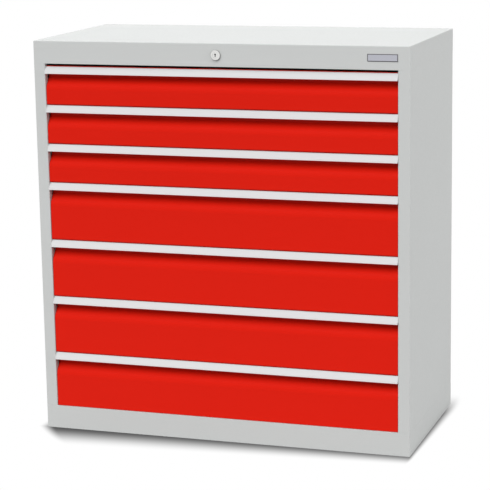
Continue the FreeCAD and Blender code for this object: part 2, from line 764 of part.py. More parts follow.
def carcass_pieces():
    """Return the fixed pieces by name."""
    side = side_panel()
    front_post = upright(UPRIGHT_FRONT)
    rear_post = upright(UPRIGHT_REAR)
    runners = [outer_member(bottom + RUNNER_RISE) for bottom in drawer_bottoms()]
    return {
        "top_cap": top_cap(),
        "base_pan": base_pan(),
        "side_panel_right": side,
        "side_panel_left": mirrored(side),
        "back_panel": back_panel(),
        "upright_front_right": front_post,
        "upright_front_left": mirrored(front_post),
        "upright_rear_right": rear_post,
        "upright_rear_left": mirrored(rear_post),
        "runner_outer_members": both_sides(Part.Compound(runners)),
        "bar_guides": bar_guides(),
        "lock_housing": lock_housing(),
        "lock_nut": lock_nut(),
        "spindle_bearing": spindle_bearing(),
    }


def lock_pieces():
    """Return the pieces that turn with the key, and the locking bar with its fingers."""
    fingers = [locking_finger(*drawer) for drawer in zip(drawer_bottoms(), DRAWER_MODULES)]
    return {
        "lock_plug": lock_plug(),
        "lock_spindle": lock_spindle(),
        "locking_bar": locking_bar(),
        "locking_fingers": Part.Compound(fingers),
    }


def drawer_pieces(number, bottom, module, drop, fall):
    """Return one drawer's pieces by name; the drawers are numbered from the top."""
    rail = bottom + RUNNER_RISE
    return {
        f"drawer_{number}_front": drawer_front(bottom, module, drop, fall),
        f"drawer_{number}_handle": handle_strip(bottom, module, drop),
        f"drawer_{number}_tray": tray(bottom, module),
        f"drawer_{number}_catch": catch(bottom, module),
        f"drawer_{number}_runner": both_sides(drawer_member(rail)),
        f"drawer_{number}_slide": both_sides(middle_member(rail)),
    }


def all_pieces():
    """Return every piece of the cabinet by name."""
    pieces = {**carcass_pieces(), **lock_pieces()}
    for i, (bottom, module) in enumerate(zip(drawer_bottoms(), DRAWER_MODULES)):
        number = len(DRAWER_MODULES) - i
        drop = TOP_FRONT_DROP if number == 1 else 0.0
        fall = FRONT_FALL if i > 0 else 0.0
        pieces.update(drawer_pieces(number, bottom, module, drop, fall))
    return pieces


def handle_reach():
    """Return how far the rounded lips of the handle strips stand out in front of the frame."""
    nose = Nose(RAIL_BOTTOM, 0.0)
    depth, _ = nose.at(nose.length - STRIP_ROUND, STRIP_THICKNESS - STRIP_ROUND)
    return STRIP_ROUND - depth


def main():
    """Write each piece to its own file, with the origin under the middle of the whole depth."""
    os.makedirs("parts", exist_ok=True)
    middle = (CASE_DEPTH - handle_reach()) / 2
    for name, shape in all_pieces().items():
        placed = shape.copy()
        placed.translate(Vector(0, -middle, 0))
        placed.exportStep(f"parts/{name}.step")


main()
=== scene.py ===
"""Dresses the drawer cabinet: its finishes, its small pieces, the studio light and the camera.

Sizes are in metres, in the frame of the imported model: X to the right, Y to the back, Z up. The
drawers are numbered from the top.
"""

import logging
import math
from dataclasses import dataclass
from enum import Enum

import bpy
import numpy as np
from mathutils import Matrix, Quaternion, Vector


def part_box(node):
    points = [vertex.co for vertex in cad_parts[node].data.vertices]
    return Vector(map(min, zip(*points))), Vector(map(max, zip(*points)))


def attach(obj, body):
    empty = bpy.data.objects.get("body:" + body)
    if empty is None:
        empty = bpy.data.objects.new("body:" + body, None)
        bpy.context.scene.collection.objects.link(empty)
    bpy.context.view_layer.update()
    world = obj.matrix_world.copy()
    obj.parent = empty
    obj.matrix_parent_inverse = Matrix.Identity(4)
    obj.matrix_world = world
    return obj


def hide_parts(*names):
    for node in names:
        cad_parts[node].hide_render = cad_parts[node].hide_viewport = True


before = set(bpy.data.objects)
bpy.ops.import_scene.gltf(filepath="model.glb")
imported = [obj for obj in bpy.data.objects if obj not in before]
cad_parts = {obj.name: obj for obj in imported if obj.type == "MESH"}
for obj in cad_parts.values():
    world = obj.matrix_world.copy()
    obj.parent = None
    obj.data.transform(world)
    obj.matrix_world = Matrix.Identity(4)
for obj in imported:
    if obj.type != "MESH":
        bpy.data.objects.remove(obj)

LOG = logging.getLogger("drawer_cabinet")
DRAWER_COUNT = 7

Colour = tuple[float, float, float]
Place = tuple[float, float, float]
Range = tuple[float, float]

BEVEL_SAMPLES = 4
FLAT_TO_EDGE: Range = (0.995, 0.8)
RIVET_DOME_ROWS = 5
RIVET_SIDES = 14


def srgb(red: int, green: int, blue: int) -> Colour:
    """Turn a screen colour into the linear colour that a shader takes.

    Each channel c from 0 to 1 becomes ((c + 0.055) / 1.055) to the power 2.4, or c / 12.92 when it
    is very dark.

    Args:
        red: Red from 0 to 255.
        green: Green from 0 to 255.
        blue: Blue from 0 to 255.

    Returns:
        The three linear channels, from 0 to 1.
    """
    c = np.array([red, green, blue]) / 255.0
    linear = np.where(c <= 0.04045, c / 12.92, ((c + 0.055) / 1.055) ** 2.4)
    return tuple(float(channel) for channel in linear)


class Slot(Enum):
    """The names of the record's material slots."""

    CASE = "case_grey"
    TRAY = "tray_grey"
    HANDLE = "handle_aluminium"
    ZINC = "zinc_steel"
    LOCK = "lock_chrome"


class Body(Enum):
    """The bodies besides the drawers that the scene's own pieces move with."""

    CARCASS = "carcass"
    LOCK = "lock"


class Axis(Enum):
    """A direction of the cabinet, as a unit vector."""

    X = (1.0, 0.0, 0.0)
    Y = (0.0, 1.0, 0.0)
    Z = (0.0, 0.0, 1.0)


class Shader:
    """One material and its node tree, with short calls for the nodes that the finishes share."""

    def __init__(self, name: str) -> None:
        """Start a material with the standard surface shader and Object coordinates.

        Args:
            name: The material's name.
        """
        self.material = bpy.data.materials.new(name)
        self.material.use_nodes = True
        self.tree = self.material.node_tree
        self.surface = self.tree.nodes["Principled BSDF"]
        self.place = self.add("ShaderNodeTexCoord").outputs["Object"]

    def add(self, kind: str, inputs: dict | None = None, **options: object) -> bpy.types.Node:
        """Add a node and fill in its inputs.

        Args:
            kind: The node's type.
            inputs: A value or another node's output for each input, by its name or number.
            options: The node's own settings.

        Returns:
            The new node.
        """
        node = self.tree.nodes.new(kind)
        for option, value in options.items():
            setattr(node, option, value)
        for key, value in (inputs or {}).items():
            self.feed(node.inputs[key], value)
        return node

    def feed(self, socket: bpy.types.NodeSocket, value: object) -> None:
        """Link an output to an input, or set the input's own value.

        Args:
            socket: The input.
            value: Another node's output, or a number or colour.
        """
        if isinstance(value, bpy.types.NodeSocket):
            self.tree.links.new(value, socket)
        else:
            socket.default_value = value

    def noise(self, size: float, detail: float = 2.0, stretch: Place = (1.0, 1.0, 1.0)) -> object:
        """Return a cloudy pattern from 0 to 1, with grains of about a size in metres.

        Args:
            size: The size of a grain.
            detail: How many finer layers are added.
            stretch: How many times longer a grain is along each axis.

        Returns:
            The pattern's output.
        """
        scale = tuple(1.0 / (size * longer) for longer in stretch)
        mapped = self.add("ShaderNodeMapping", {"Vector": self.place, "Scale": scale})
        inputs = {"Vector": mapped.outputs["Vector"], "Scale": 1.0, "Detail": detail}
        return self.add("ShaderNodeTexNoise", inputs).outputs["Fac"]

    def spread(self, value: object, low: float, high: float, start: Range = (0.3, 0.7)) -> object:
        """Return a pattern moved from one range to another.

        Args:
            value: The pattern.
            low: What the range's start becomes.
            high: What the range's end becomes.
            start: The range that the pattern covers.

        Returns:
            The moved pattern's output.
        """
        inputs = {
            "Value": value,
            "From Min": start[0],
            "From Max": start[1],
            "To Min": low,
            "To Max": high,
        }
        return self.add("ShaderNodeMapRange", inputs).outputs["Result"]

    def calc(self, operation: str, first: object, second: object = 0.0) -> object:
        """Return the result of one sum on numbers or outputs."""
        inputs = {0: first, 1: second}
        return self.add("ShaderNodeMath", inputs, operation=operation).outputs["Value"]

    def length(self, vector: object) -> object:
        """Return the length of a vector output."""
        return self.add("ShaderNodeVectorMath", {0: vector}, operation="LENGTH").outputs["Value"]

    def blend(self, share: object, first: object, second: object) -> object:
        """Return a colour between two, by a share from 0 to 1.

        Args:
            share: How much of the second colour there is.
            first: A colour, or the output that gives it.
            second: A colour, or the output that gives it.

        Returns:
            The colour's output.
        """
        node = self.add("ShaderNodeMix", data_type="RGBA")
        colours = [socket for socket in node.inputs if socket.type == "RGBA"]
        self.feed(node.inputs["Factor"], share)
        for socket, colour in zip(colours, (first, second)):
            self.feed(socket, (*colour, 1.0) if isinstance(colour, tuple) else colour)
        return next(socket for socket in node.outputs if socket.type == "RGBA")

    def shade(self, colour: Colour, share: object, depth: float) -> object:
        """Return a colour that gets lighter and darker by a share of itself.

        Args:
            colour: The middle colour.
            share: A pattern from 0 to 1.
            depth: How far the colour moves to each side, as a share of itself.

        Returns:
            The colour's output.
        """
        darker = tuple(channel * (1.0 - depth) for channel in colour)
        lighter = tuple(min(1.0, channel * (1.0 + depth)) for channel in colour)
        return self.blend(share, darker, lighter)

    def soft_edges(self, radius: float) -> object:
        """Return a normal that rounds the edges over a radius."""
        return self.add("ShaderNodeBevel", {"Radius": radius}, samples=BEVEL_SAMPLES).outputs["Normal"]

    def edges(self, radius: float) -> object:
        """Return 1 along the edges and 0 on the flats.

        It is one less the dot product of the rounded normal and the surface's own, made steeper.

        Args:
            radius: How far from an edge it starts.

        Returns:
            The pattern's output.
        """
        own = self.add("ShaderNodeNewGeometry").outputs["Normal"]
        inputs = {0: self.soft_edges(radius), 1: own}
        dot = self.add("ShaderNodeVectorMath", inputs, operation="DOT_PRODUCT")
        return self.spread(dot.outputs["Value"], 0.0, 1.0, FLAT_TO_EDGE)

    def relief(self, height: object, depth: float, strength: float, under: object) -> object:
        """Return a normal that a height pattern makes uneven.

        Args:
            height: The pattern, from 0 to 1.
            depth: The height in metres that 1 stands for.
            strength: How much of it shows, from 0 to 1.
            under: The normal that it lies on.

        Returns:
            The normal's output.
        """
        inputs = {"Height": height, "Distance": depth, "Strength": strength, "Normal": under}
        return self.add("ShaderNodeBump", inputs).outputs["Normal"]

    def finish(self, **sockets: object) -> bpy.types.Material:
        """Fill in the surface shader's inputs, with spaces written as underscores.

        Args:
            sockets: The value or output for each input.

        Returns:
            The finished material.
        """
        for name, value in sockets.items():
            self.feed(self.surface.inputs[name.replace("_", " ")], value)
        return self.material


@dataclass(frozen=True)
class PowderCoat:
    """Baked powder paint: a fine orange-peel skin, a little uneven in gloss and shade."""

    name: str
    colour: Colour
    gloss_range: Range = (0.42, 0.54)
    peel_size: float = 0.0016
    peel_depth: float = 0.00006
    peel_strength: float = 0.3
    cloud_size: float = 0.22
    cloud_depth: float = 0.012
    speck_size: float = 0.0007
    speck_depth: float = 0.02
    speck_share: float = 0.5
    speck_range: Range = (0.6, 1.0)
    gloss_patch: float = 0.0064
    edge_radius: float = 0.0009
    # How much lighter the edges are: a thinner coat there, and a painted highlight.
    edge_lift: float = 0.05
    mirror_level: float = 0.18
    diffuse_roughness: float = 0.0

    def material(self) -> bpy.types.Material:
        """Make the paint: slow clouds and fine specks in the shade, and a peel in the normal.

        Returns:
            The material.
        """
        shader = Shader(self.name)
        clouds = shader.shade(self.colour, shader.noise(self.cloud_size), self.cloud_depth)
        specks = shader.spread(shader.noise(self.speck_size, 1.0), 0.0, 1.0)
        dark = tuple(channel * (1.0 - self.speck_depth) for channel in self.colour)
        share = shader.spread(specks, 0.0, self.speck_share, self.speck_range)
        speckled = shader.blend(share, clouds, dark)
        # Lighter along the edges: a thinner coat, and a painted highlight.
        lifted = tuple(channel + self.edge_lift * (1.0 - channel) for channel in self.colour)
        colour = shader.blend(shader.edges(self.edge_radius), speckled, lifted)
        peel = shader.noise(self.peel_size, 1.5)
        normal = shader.relief(
            peel, self.peel_depth, self.peel_strength, shader.soft_edges(self.edge_radius)
        )
        return shader.finish(
            Base_Color=colour,
            Roughness=shader.spread(shader.noise(self.gloss_patch), *self.gloss_range),
            Normal=normal,
            Specular_IOR_Level=self.mirror_level,
            Diffuse_Roughness=self.diffuse_roughness,
        )


@dataclass(frozen=True)
class BrushedMetal:
    """Metal with fine lines along one axis, as drawn, ground or anodised metal has."""

    name: str
    colour: Colour
    along: Axis
    gloss_range: Range = (0.3, 0.42)
    line_size: float = 0.0004
    line_length: float = 160.0
    line_depth: float = 0.00002
    line_strength: float = 0.25
    shade_depth: float = 0.025
    edge_radius: float = 0.0004

    def material(self) -> bpy.types.Material:
        """Make the metal: long thin grains in the shade, the gloss and the normal.

        Returns:
            The material.
        """
        shader = Shader(self.name)
        stretch = tuple(1.0 + (self.line_length - 1.0) * share for share in self.along.value)
        lines = shader.noise(self.line_size, stretch=stretch)
        normal = shader.relief(
            lines, self.line_depth, self.line_strength, shader.soft_edges(self.edge_radius)
        )
        return shader.finish(
            Base_Color=shader.shade(self.colour, shader.spread(lines, 0.0, 1.0), self.shade_depth),
            Roughness=shader.spread(lines, *self.gloss_range),
            Normal=normal,
            Metallic=1.0,
        )


@dataclass(frozen=True)
class ZincPlate:
    """Zinc-plated steel: a soft blue-grey sheen in small patches, with faint drawing lines."""

    name: str
    colour: Colour
    tint: Colour
    patch_size: float = 0.012
    grain_size: float = 0.0009
    grain_stretch: Place = (1.0, 12.0, 1.0)
    grain_depth: float = 0.00002
    grain_strength: float = 0.2
    gloss_range: Range = (0.28, 0.46)
    edge_radius: float = 0.0004

    def material(self) -> bpy.types.Material:
        """Make the plate: patches between two tints, and fine grains in gloss and normal.

        Returns:
            The material.
        """
        shader = Shader(self.name)
        patches = shader.spread(shader.noise(self.patch_size, 3.0), 0.0, 1.0)
        grains = shader.noise(self.grain_size, stretch=self.grain_stretch)
        normal = shader.relief(
            grains, self.grain_depth, self.grain_strength, shader.soft_edges(self.edge_radius)
        )
        return shader.finish(
            Base_Color=shader.blend(patches, self.colour, self.tint),
            Roughness=shader.spread(patches, *self.gloss_range),
            Normal=normal,
            Metallic=1.0,
        )


@dataclass(frozen=True)
class TurnedMetal:
    """Plated metal turned on a lathe, with fine rings about an axis along Y, and a rim darkened in
    colour as painted shade.
    """

    name: str
    colour: Colour
    centre: Place
    rim_radius: float
    rim_width: float = 0.0002
    # How dark the rim's colour is made: painted shade on the side of the flange.
    painted_rim_shade_tone: float = 0.3
    ring_pitch: float = 0.0005
    ring_depth: float = 0.00002
    ring_strength: float = 0.2
    cloud_size: float = 0.004
    cloud_depth: float = 0.02
    roughness: float = 0.24
    edge_radius: float = 0.0004

    def material(self) -> bpy.types.Material:
        """Make the metal: the height is a wave of the distance from the axis.

        Returns:
            The material.
        """
        shader = Shader(self.name)
        shift = tuple(-value for value in self.centre)
        mapped = shader.add("ShaderNodeMapping", {"Vector": shader.place, "Location": shift})
        inputs = {0: mapped.outputs["Vector"], 1: (1.0, 0.0, 1.0)}
        flat = shader.add("ShaderNodeVectorMath", inputs, operation="MULTIPLY")
        distance = shader.length(flat.outputs["Vector"])
        turns = shader.calc("MULTIPLY", distance, 2 * math.pi / self.ring_pitch)
        normal = shader.relief(
            shader.calc("SINE", turns),
            self.ring_depth,
            self.ring_strength,
            shader.soft_edges(self.edge_radius),
        )
        tone = shader.spread(shader.noise(self.cloud_size), 0.0, 1.0)
        # The outer rim is darkened in colour: painted shade on the side of the flange.
        edge = (self.rim_radius - self.rim_width, self.rim_radius)
        rim = shader.spread(distance, 0.0, 1.0, edge)
        painted_rim_shade_colour = tuple(self.painted_rim_shade_tone * value for value in self.colour)
        return shader.finish(
            Base_Color=shader.blend(rim, shader.shade(self.colour, tone, self.cloud_depth), painted_rim_shade_colour),
            Roughness=self.roughness,
            Normal=normal,
            Metallic=1.0,
        )


@dataclass(frozen=True)
class Moulded:
    """Moulded plastic or enamel with a fine even grain."""

    name: str
    colour: Colour
    grain_size: float = 0.0008
    grain_depth: float = 0.00003
    grain_strength: float = 0.3
    shade_depth: float = 0.05
    gloss_range: Range = (0.45, 0.6)
    mirror_level: float = 0.3

    def material(self) -> bpy.types.Material:
        """Make the plastic: one fine grain in shade, gloss and normal.

        Returns:
            The material.
        """
        shader = Shader(self.name)
        grain = shader.noise(self.grain_size)
        normal = shader.relief(
            grain, self.grain_depth, self.grain_strength, shader.soft_edges(self.grain_size)
        )
        tone = shader.spread(grain, 0.0, 1.0)
        return shader.finish(
            Base_Color=shader.shade(self.colour, tone, self.shade_depth),
            Roughness=shader.spread(grain, *self.gloss_range),
            Normal=normal,
            Specular_IOR_Level=self.mirror_level,
        )


Finish = PowderCoat | BrushedMetal | ZincPlate | TurnedMetal | Moulded


@dataclass
class Surface:
    """Points, and the faces that join them: one array of point numbers for each kind of face."""

    points: np.ndarray
    faces: list[np.ndarray]


def joined(surfaces: list[Surface]) -> Surface:
    """Return several surfaces as one.

    Args:
        surfaces: The surfaces, whose point numbers each start at nought.

    Returns:
        One surface, with each later surface's point numbers raised by the points before it.
    """
    starts = np.cumsum([0] + [len(surface.points) for surface in surfaces[:-1]])
    faces = [kind + start for surface, start in zip(surfaces, starts) for kind in surface.faces]
    return Surface(np.concatenate([surface.points for surface in surfaces]), faces)


def lathe(profile: np.ndarray, centre: Place, facing: Place, sides: int) -> Surface:
    """Turn a profile about an axis and close it with a pole at each end.

    A point at radius r and height h lands at centre + h * axis + r * (cos a * p + sin a * q), where
    p and q are square to the axis and a goes round in equal steps.

    Args:
        profile: Rows of radius and height, whose first and last radius are nought.
        centre: Where the height is nought.
        facing: The axis, towards the last point of the profile.
        sides: The number of steps round.

    Returns:
        The closed surface, with its faces pointing outwards.
    """
    axis = np.array(facing, float)
    first = np.cross(axis, (0.0, 0.0, 1.0) if abs(axis[2]) < 0.9 else (1.0, 0.0, 0.0))
    first /= np.linalg.norm(first)
    second = np.cross(axis, first)
    angles = 2 * np.pi * np.arange(sides) / sides
    spokes = np.outer(np.cos(angles), first) + np.outer(np.sin(angles), second)
    radius, height = profile[1:-1, 0], profile[1:-1, 1]
    rings = radius[:, None, None] * spokes + height[:, None, None] * axis
    poles = profile[[0, -1], 1][:, None] * axis
    points = np.concatenate([rings.reshape(-1, 3), poles]) + np.array(centre)
    here = np.arange(sides)
    after = (here + 1) % sides
    row = (np.arange(len(radius) - 1) * sides)[:, None]
    walls = np.stack([row + here, row + after, row + sides + after, row + sides + here], -1)
    last = (len(radius) - 1) * sides
    start_pole, end_pole = np.full(sides, last + sides), np.full(sides, last + sides + 1)
    start_cap = np.stack([start_pole, after, here], -1)
    end_cap = np.stack([end_pole, last + here, last + after], -1)
    return Surface(points, [walls.reshape(-1, 4), start_cap, end_cap])


def punched_sheet(
    across: np.ndarray, along: np.ndarray, kept: np.ndarray, place: np.ndarray, thickness: float
) -> Surface:
    """Make a flat sheet with square-cornered holes.

    The sheet is a grid of cells. Point (i, j) lies at origin + across_i * a + along_j * b, and again
    one thickness further along a x b. Each kept cell has a face on both sides, and each border
    between a kept cell and an empty one has a wall.

    Args:
        across: The grid's lines in the first direction.
        along: The grid's lines in the second direction.
        kept: Whether each cell is metal, as rows across by columns along.
        place: Rows of the origin, the unit vector a and the unit vector b.
        thickness: The sheet's thickness.

    Returns:
        The closed surface, with its faces pointing outwards.
    """
    origin, a, b = place
    flat = across[:, None, None] * a + along[None, :, None] * b + origin
    points = np.stack([flat, flat + thickness * np.cross(a, b)])
    number = np.arange(points[..., 0].size).reshape(points.shape[:3])
    low, high = number
    cells = [low[:-1, :-1], low[1:, :-1], low[1:, 1:], low[:-1, 1:]]
    top = [high[:-1, :-1], high[1:, :-1], high[1:, 1:], high[:-1, 1:]]
    faces = [
        np.stack(top, -1)[kept],
        np.stack(cells[::-1], -1)[kept],
    ]
    padded = np.pad(kept, 1)
    before, after = padded[:-1, 1:-1], padded[1:, 1:-1]
    wall = np.stack([low[:, :-1], low[:, 1:], high[:, 1:], high[:, :-1]], -1)
    faces += [wall[before & ~after], wall[after & ~before][:, ::-1]]
    before, after = padded[1:-1, :-1], padded[1:-1, 1:]
    wall = np.stack([low[:-1, :], high[:-1, :], high[1:, :], low[1:, :]], -1)
    faces += [wall[before & ~after], wall[after & ~before][:, ::-1]]
    quads = np.concatenate(faces)
    used, renumbered = np.unique(quads, return_inverse=True)
    return Surface(points.reshape(-1, 3)[used], [renumbered.reshape(-1, 4)])


def rounded_outline(width: float, height: float, radius: float, steps: int = 6) -> np.ndarray:
    """Return a rectangle with round corners, as points that run anticlockwise.

    Corner k is a quarter circle of the radius from angle k * 90 degrees, about a centre that lies
    one radius inside both of its sides.

    Args:
        width: The rectangle's width.
        height: The rectangle's height.
        radius: The corners' radius.
        steps: The number of steps round each corner.

    Returns:
        Rows of two coordinates about the middle.
    """
    turn = np.linspace(0, np.pi / 2, steps + 1)
    angles = (np.arange(4)[:, None] * np.pi / 2 + turn).ravel()
    signs = np.repeat([(1, 1), (-1, 1), (-1, -1), (1, -1)], steps + 1, axis=0)
    inner = np.array([width / 2 - radius, height / 2 - radius])
    return signs * inner + radius * np.stack([np.cos(angles), np.sin(angles)], -1)


def stacked_plate(outlines: list[np.ndarray], depths: list[float], centre: Place) -> Surface:
    """Make a plate that faces forward from outlines at different depths.

    Outline k lies in the plane y = -depth k, and each is joined to the next by a band, so a smaller
    outline in front makes a slanted edge and one further back makes a recess.

    Args:
        outlines: Outlines with equal numbers of points, from the back to the middle of the face.
        depths: How far each stands out in front of the centre.
        centre: The middle of the plate's back.

    Returns:
        The closed surface, with its faces pointing outwards.
    """
    flat = np.stack(outlines)
    raised = np.broadcast_to(-np.array(depths)[:, None], flat.shape[:2])
    points = np.stack([flat[..., 0], raised, flat[..., 1]], -1) + np.array(centre)
    count = flat.shape[1]
    here = np.arange(count)
    after = (here + 1) % count
    row = (np.arange(len(outlines) - 1) * count)[:, None]
    bands = np.stack([row + here, row + after, row + count + after, row + count + here], -1)
    back = here[::-1][None]
    face = ((len(outlines) - 1) * count + here)[None]
    return Surface(points.reshape(-1, 3), [bands.reshape(-1, 4), back, face])


def prism(outline: np.ndarray, start: float, thickness: float) -> Surface:
    """Make a flat plate that faces sideways.

    Outline point (y, z) gives the two corners (start, y, z) and (start + thickness, y, z). With a
    thickness below nought the point numbers run the other way round, so the faces still point out.

    Args:
        outline: Rows of y and z that run anticlockwise seen from the right.
        start: Where the plate starts along X.
        thickness: How thick it is, and below nought if it grows to the left.

    Returns:
        The closed surface, with its faces pointing outwards.
    """
    count = len(outline)
    across = np.repeat([start, start + thickness], count)
    points = np.column_stack([across, np.tile(outline, (2, 1))])
    here = np.arange(count)
    after = (here + 1) % count
    walls = np.stack([here, after, count + after, count + here], -1)
    faces = [walls, here[::-1][None], (count + here)[None]]
    return Surface(points, faces if thickness > 0 else [face[:, ::-1] for face in faces])


class Workshop:
    """Turns surfaces into finished pieces, and keeps one material for each finish."""

    def __init__(self) -> None:
        """Start with no materials made."""
        self.materials: dict[str, bpy.types.Material] = {}

    def material(self, finish: Finish) -> bpy.types.Material:
        """Return the finish's material, and make it the first time."""
        if finish.name not in self.materials:
            self.materials[finish.name] = finish.material()
        return self.materials[finish.name]

    def dress(self, nodes: tuple[str, ...], finish: Finish) -> None:
        """Give CAD nodes a finish.

        Args:
            nodes: The nodes' names.
            finish: Their finish.
        """
        for node in nodes:
            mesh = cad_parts[node].data
            mesh.materials.clear()
            mesh.materials.append(self.material(finish))
        LOG.info("%s on %s", finish.name, ", ".join(nodes))

    def piece(
        self, name: str, surface: Surface, finish: Finish, body: str, smooth: bool = False
    ) -> bpy.types.Object:
        """Make one piece from a surface and let it ride on a body.

        Args:
            name: The piece's name.
            surface: Its points and faces, in the frame.
            finish: Its finish.
            body: The body that it moves with.
            smooth: Whether its faces are shaded as one curve.

        Returns:
            The new object, at the origin.
        """
        mesh = bpy.data.meshes.new(name)
        faces = [face for kind in surface.faces for face in kind.tolist()]
        mesh.from_pydata(surface.points.tolist(), [], faces)
        mesh.polygons.foreach_set("use_smooth", np.full(len(mesh.polygons), smooth))
        mesh.materials.append(self.material(finish))
        mesh.validate()
        made = bpy.data.objects.new(name, mesh)
        bpy.context.scene.collection.objects.link(made)
        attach(made, body)
        LOG.info("%s rides on %s, %d faces", name, body, len(faces))
        return made


CASE_GREY = PowderCoat("case_grey_paint", srgb(200, 202, 201))
FRONT_RED = PowderCoat(
    "front_red_paint", srgb(223, 33, 17), edge_lift=0.02, mirror_level=0.1, diffuse_roughness=0.8
)
TRAY_GREY = PowderCoat("tray_grey_paint", srgb(196, 198, 197), edge_lift=0.03)
STRIP_ALUMINIUM = BrushedMetal("strip_aluminium", srgb(228, 228, 229), Axis.X)
ZINC = ZincPlate("zinc_plate", srgb(196, 200, 206), srgb(212, 212, 208))
STRIP_CAP = Moulded("strip_cap_grey", srgb(226, 226, 227), gloss_range=(0.35, 0.5))
NYLON = Moulded("black_nylon", srgb(30, 30, 32))
PLATE_FACE = Moulded("plate_face", srgb(182, 183, 192), gloss_range=(0.3, 0.4))
PLATE_RIM = Moulded("plate_rim", srgb(104, 103, 107), gloss_range=(0.3, 0.4))
# Keyway wafers: the wafers are real, and their near-black colour is painted shade inside the slit.
KEYWAY_PAINTED_SHADE = Moulded("keyway_painted_shade", srgb(22, 22, 24))


@dataclass
class Case:
    """The welded case: cap, base, side panels, back, uprights and the cabinet members."""

    painted: tuple[str, ...] = (
        "top_cap",
        "base_pan",
        "side_panel_left",
        "side_panel_right",
        "back_panel",
    )
    plated: tuple[str, ...] = (
        "upright_front_left",
        "upright_front_right",
        "upright_rear_left",
        "upright_rear_right",
        "runner_outer_members",
    )
    plate_width: float = 0.0758
    plate_height: float = 0.0184
    plate_right: float = 0.4597
    plate_middle: float = 0.9902
    plate_rise: float = 0.0011
    plate_border: float = 0.0017
    plate_corner: float = 0.0008
    rivet_radius: float = 0.0032
    rivet_height: float = 0.0011
    rivet_inset: float = 0.0105
    rivet_rows: int = 6

    def name_plate(self, workshop: Workshop) -> None:
        """Make the bare name plate at the right end of the rail: a dark rim round a pale face.

        Args:
            workshop: Where the pieces are made.
        """
        face_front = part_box("top_cap")[0].y
        centre = (self.plate_right - self.plate_width / 2, face_front, self.plate_middle)
        slope = self.plate_rise / 2

        def outline(inset: float) -> np.ndarray:
            """Return the plate's outline, drawn in by an inset on all sides."""
            return rounded_outline(
                self.plate_width - 2 * inset,
                self.plate_height - 2 * inset,
                self.plate_corner,
            )

        insets = (0.0, 0.0, slope, self.plate_border, self.plate_border)
        rim = stacked_plate(
            [outline(inset) for inset in insets],
            [0.0, slope, self.plate_rise, self.plate_rise, slope],
            centre,
        )
        workshop.piece("name_plate_rim", rim, PLATE_RIM, Body.CARCASS.value)
        clear = self.plate_border + slope / 4
        face = stacked_plate(
            [outline(clear), outline(clear), outline(clear + slope / 2)],
            [slope, self.plate_rise - slope / 2, self.plate_rise - slope / 4],
            centre,
        )
        workshop.piece("name_plate_face", face, PLATE_FACE, Body.CARCASS.value)

    def back_rivets(self, workshop: Workshop) -> None:
        """Make the blind rivets that hold the back sheet to the rear flanges of the sides.

        Args:
            workshop: Where the pieces are made.
        """
        low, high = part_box("back_panel")
        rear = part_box("side_panel_right")[1].y
        side = high.x - self.rivet_inset
        heads = [
            blind_rivet((x, rear, z), Axis.Y.value, self.rivet_radius, self.rivet_height)
            for x in (-side, side)
            for z in middles(low.z, high.z, self.rivet_rows)
        ]
        workshop.piece("back_rivets", joined(heads), ZINC, Body.CARCASS.value, True)

    def build(self, workshop: Workshop) -> None:
        """Dress the case and make its small pieces.

        Args:
            workshop: Where the pieces are made.
        """
        workshop.dress(self.painted, CASE_GREY)
        workshop.dress(self.plated, ZINC)
        self.name_plate(workshop)
        self.back_rivets(workshop)


def middles(start: float, end: float, count: int) -> np.ndarray:
    """Return the middles of equal parts of a length, at start + (k + 1/2) * (end - start) / count."""
    return np.linspace(start, end, 2 * count + 1)[1::2]


def blind_rivet(centre: Place, facing: Place, radius: float, height: float) -> Surface:
    """Make the domed head of a blind rivet, with the dimple that its broken stem leaves.

    The dome is a quarter ellipse: at angle a its radius is r * cos a and its height h * sin a. It
    stops at a third of the radius, where the dimple narrows by a fifth on its way down to a quarter
    of the height.

    Args:
        centre: The middle of the head's foot.
        facing: The direction that the head points in.
        radius: The head's radius.
        height: The head's height.

    Returns:
        The closed surface.
    """
    mouth = radius / 3
    angles = np.linspace(0, math.acos(mouth / radius), RIVET_DOME_ROWS)
    dome = np.stack([radius * np.cos(angles), height * np.sin(angles)], -1)
    foot = np.array([[0.0, 0.0]])
    well_height = height / 4
    well = np.array([[0.8 * mouth, well_height], [0.0, well_height]])
    return lathe(np.concatenate([foot, dome, well]), centre, facing, RIVET_SIDES)


@dataclass
class CentralLock:
    """The lock in the rail, and the spindle, bar and fingers behind the drawers."""

    plated: tuple[str, ...] = (
        "lock_nut",
        "spindle_bearing",
        "lock_spindle",
        "locking_bar",
        "locking_fingers",
    )
    wafer_half: float = 0.00105
    wafer_height: float = 0.0076
    wafer_recess: float = 0.0011
    wafer_depth: float = 0.005

    def keyway(self, workshop: Workshop) -> None:
        """Make the wafer block that closes the keyway a little behind its mouth, coloured near black
        as painted shade.

        Args:
            workshop: Where the pieces are made.
        """
        low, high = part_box("lock_plug")
        outline = rounded_outline(2 * self.wafer_half, self.wafer_height, self.wafer_half / 2)
        centre = (0.0, low.y + self.wafer_recess + self.wafer_depth, (low.z + high.z) / 2)
        block = stacked_plate([outline, outline], [0.0, self.wafer_depth], centre)
        # The block's near-black colour is painted shade in the keyway.
        workshop.piece("lock_keyway", block, KEYWAY_PAINTED_SHADE, Body.LOCK.value)

    def build(self, workshop: Workshop) -> None:
        """Dress the lock and make its keyway.

        Args:
            workshop: Where the pieces are made.
        """
        low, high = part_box("lock_housing")
        centre = tuple((low + high) / 2)
        radius = (high.x - low.x) / 2
        nickel = TurnedMetal("lock_nickel", srgb(222, 222, 220), centre, radius)
        workshop.dress(("lock_housing", "lock_plug"), nickel)
        workshop.dress(self.plated, ZINC)
        workshop.dress(("bar_guides",), NYLON)
        self.keyway(workshop)


